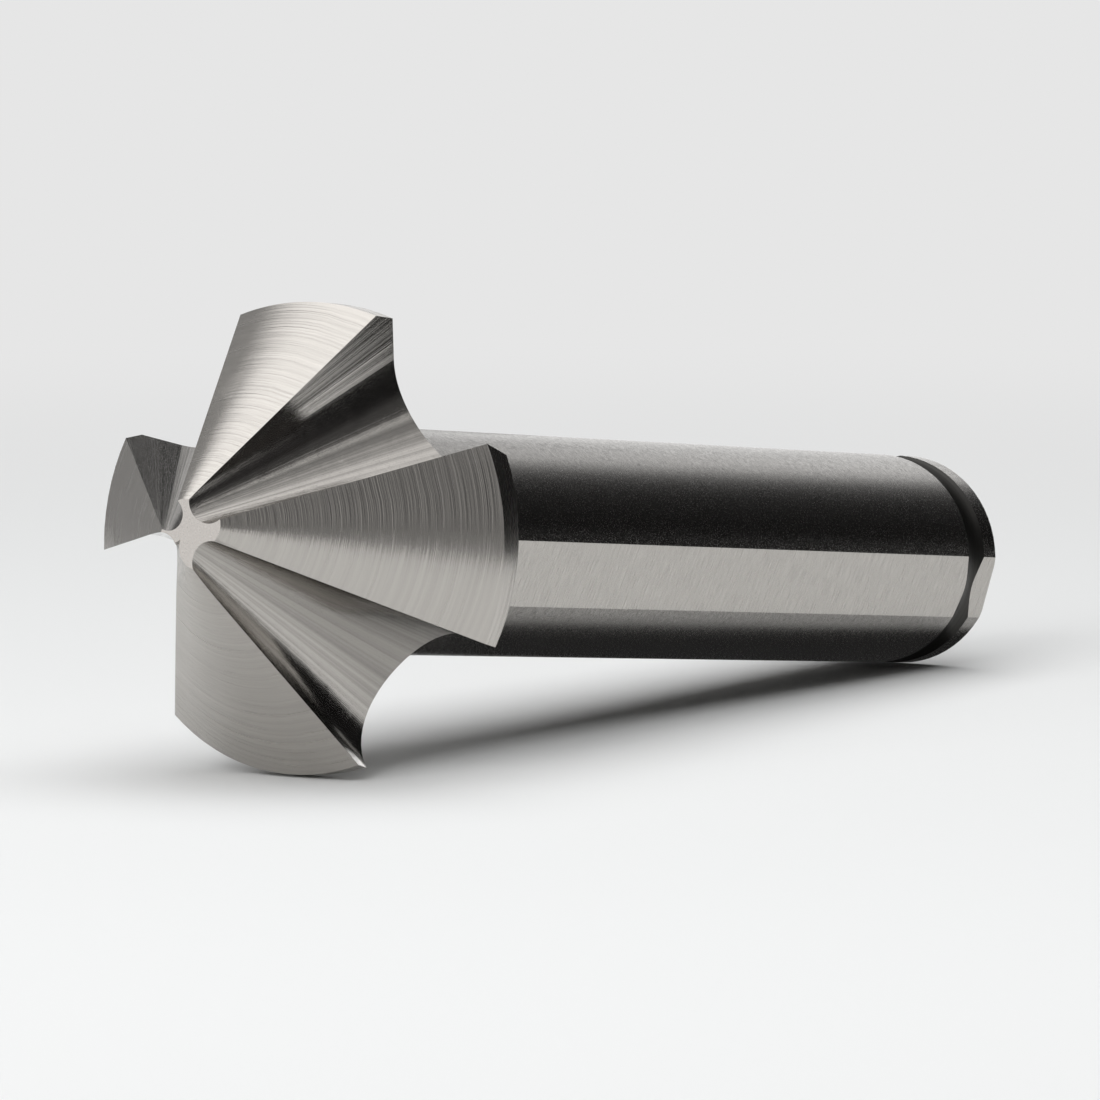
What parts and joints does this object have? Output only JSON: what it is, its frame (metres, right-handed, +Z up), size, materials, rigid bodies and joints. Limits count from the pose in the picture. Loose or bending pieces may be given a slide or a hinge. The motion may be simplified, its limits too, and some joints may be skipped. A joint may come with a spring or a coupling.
{
  "type": "countersink bit",
  "caption": "One-piece ground steel countersink bit with a fluted 90 degree cone head and a plain shank with clamping flats, lying on its side.",
  "frame": {"origin": "bottom centre of the box round the lying tool, on the surface it lies on", "axes": "+X along the lying tool from its nose to its shank end, along the floor; +Z up. The tool's own axis drops 5.67 degrees from the head to the shank end, because the head is the thicker end"},
  "size_m": [0.0634, 0.0204, 0.0205],
  "materials": {
    "ground_steel": "satin"
  },
  "bodies": {
    "root": {"countersink_bit": "ground_steel"}
  },
  "joints": []
}
